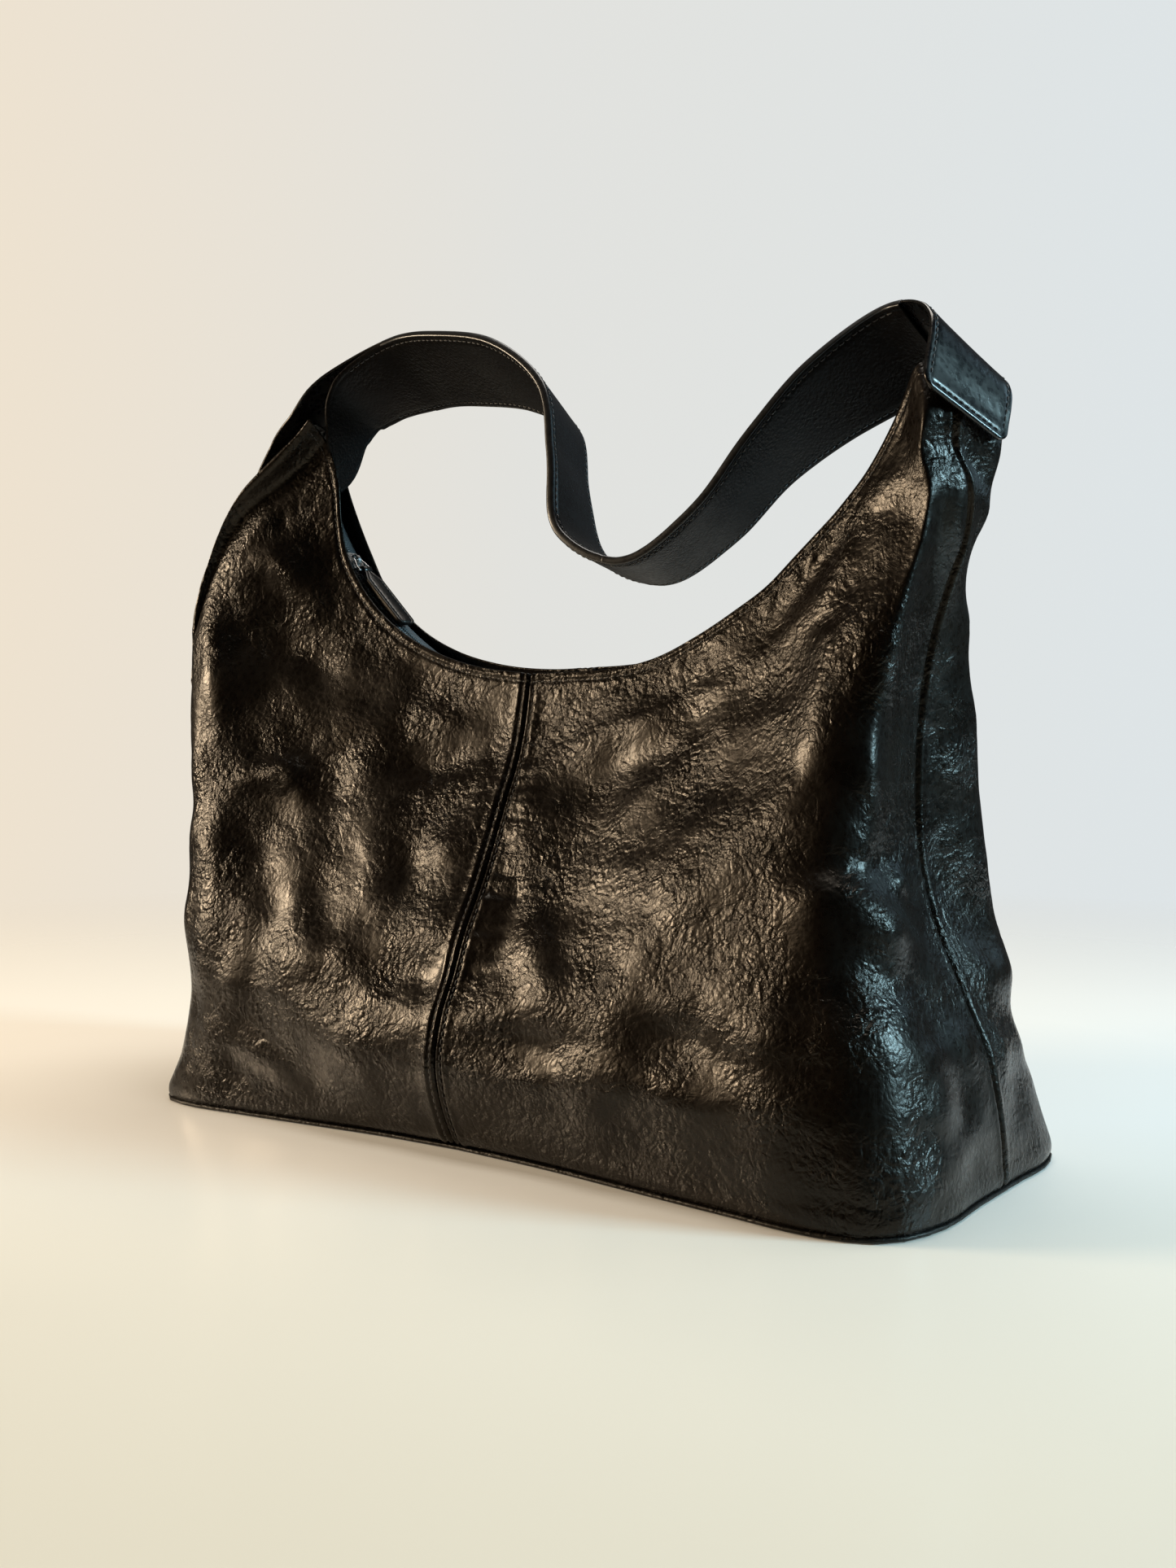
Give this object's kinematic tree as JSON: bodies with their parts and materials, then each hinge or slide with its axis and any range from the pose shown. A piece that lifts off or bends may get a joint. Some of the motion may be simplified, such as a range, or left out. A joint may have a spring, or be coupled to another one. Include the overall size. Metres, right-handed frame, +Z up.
{
  "type": "hobo bag",
  "caption": "Slouchy crescent-mouthed leather shoulder bag with a flat base, a zipped dip between two raised peaks and one flat shoulder strap.",
  "frame": {"origin": "middle of the base's underside, on the surface the bag stands on", "axes": "+X along the front to the peak with the visible strap tab, -Y the way the front faces, +Z up"},
  "size_m": [0.4487, 0.1802, 0.3918],
  "materials": {
    "glazed_leather": "glossy, creased",
    "base_leather": "satin",
    "strap_leather": "smooth, glossy",
    "strap_backing_leather": "pebbled, satin",
    "lining_cloth": "matt weave",
    "stiffener_board": "matt",
    "zip_tape_cloth": "matt weave",
    "zip_coil": "satin",
    "zip_metal": "polished",
    "pull_leather": "smooth, glossy"
  },
  "bodies": {
    "bag": {"front_left_panel": "glazed_leather", "front_right_panel": "glazed_leather", "back_left_panel": "glazed_leather", "back_right_panel": "glazed_leather", "base_panel": "base_leather", "base_board": "stiffener_board", "base_lining": "lining_cloth", "lining_front": "lining_cloth", "lining_back": "lining_cloth", "mouth_facing_front": "base_leather", "mouth_facing_back": "base_leather", "zip_tape_front": "zip_tape_cloth", "zip_tape_back": "zip_tape_cloth", "zip_chain_front": "zip_coil", "zip_chain_back": "zip_coil", "zip_end_tab_left": "pull_leather", "zip_end_tab_right": "pull_leather", "strap_end_outer_left": "strap_leather", "strap_end_outer_right": "strap_leather", "strap_end_inner_left": "strap_backing_leather", "strap_end_inner_right": "strap_backing_leather"},
    "strap": {"strap_outer_leather": "strap_leather", "strap_backing": "strap_backing_leather"},
    "slider": {"zip_slider": "zip_metal"},
    "pull_ring": {"zip_pull_ring": "zip_metal"},
    "pull_tab": {"zip_pull_tab": "pull_leather"}
  },
  "joints": [
    {"name": "strap_swing", "type": "hinge", "parent": "bag", "child": "strap", "pos_m": [-0.10055, 0.01096, 0.37518], "axis": [0.9929, 0.0343, -0.1137], "range_deg": [-60, 60]},
    {"name": "zip_travel", "type": "hinge", "parent": "bag", "child": "slider", "pos_m": [-0.003, 0, 0.386], "axis": [0, -1, 0], "range_deg": [0, 100]},
    {"name": "ring_swing", "type": "hinge", "parent": "slider", "child": "pull_ring", "pos_m": [-0.14799, 0, 0.27832], "axis": [0, -1, 0], "range_deg": [0, 100]},
    {"name": "tab_swing", "type": "hinge", "parent": "pull_ring", "child": "pull_tab", "pos_m": [-0.14161, 0, 0.27197], "axis": [0, -1, 0], "range_deg": [0, 60]}
  ]
}
